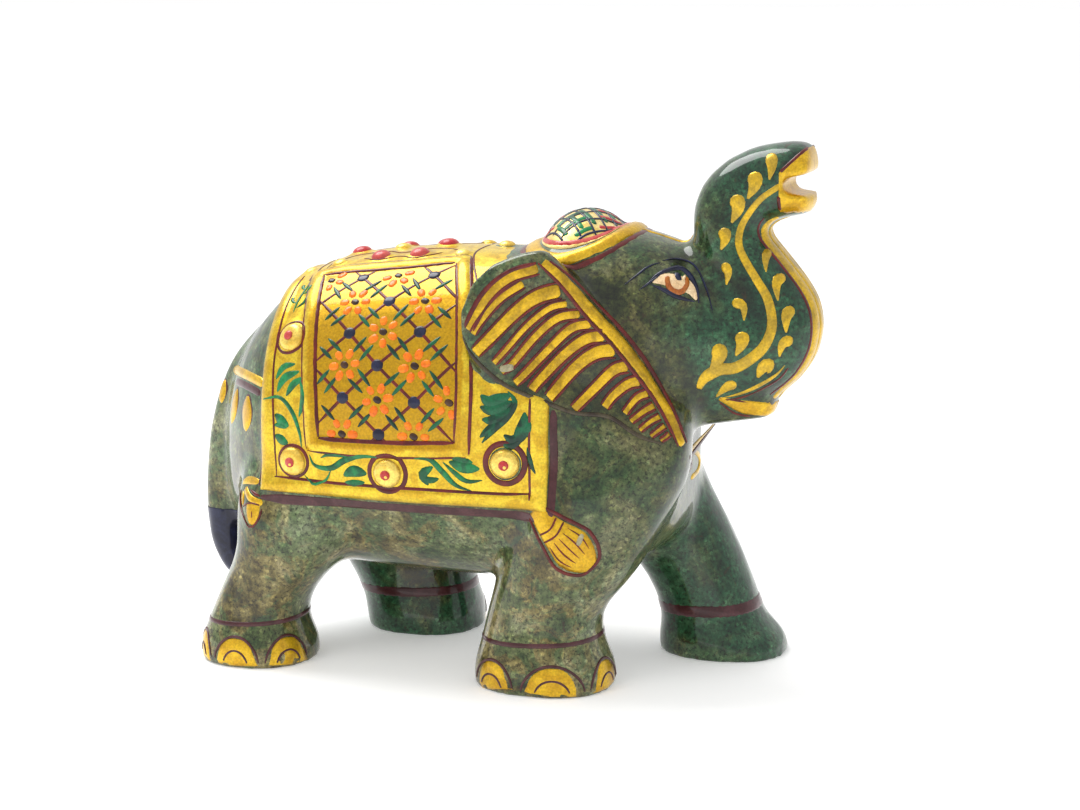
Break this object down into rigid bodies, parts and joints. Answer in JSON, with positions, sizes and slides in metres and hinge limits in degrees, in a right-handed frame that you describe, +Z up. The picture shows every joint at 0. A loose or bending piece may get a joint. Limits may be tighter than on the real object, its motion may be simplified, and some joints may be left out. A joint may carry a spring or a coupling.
{
  "type": "stone elephant carving",
  "caption": "Walking elephant with raised trunk and painted saddlecloth, carved in one piece of polished green stone, standing on the flat soles of its feet.",
  "frame": {"origin": "middle of the bounding box, at the level of the soles", "axes": "+X the way the elephant walks, +Y towards its left side, +Z up"},
  "size_m": [0.0798, 0.0376, 0.065],
  "materials": {
    "stone": "polished green aventurine under clear lacquer",
    "gilding": "brushed gold paint under clear lacquer",
    "maroon": "glossy enamel paint",
    "leaf_green": "glossy enamel paint",
    "orange": "glossy enamel paint",
    "red": "glossy enamel paint",
    "blue_black": "glossy enamel paint",
    "cream": "glossy enamel paint",
    "brown": "glossy enamel paint"
  },
  "bodies": {
    "root": {"elephant": "stone"}
  },
  "joints": []
}
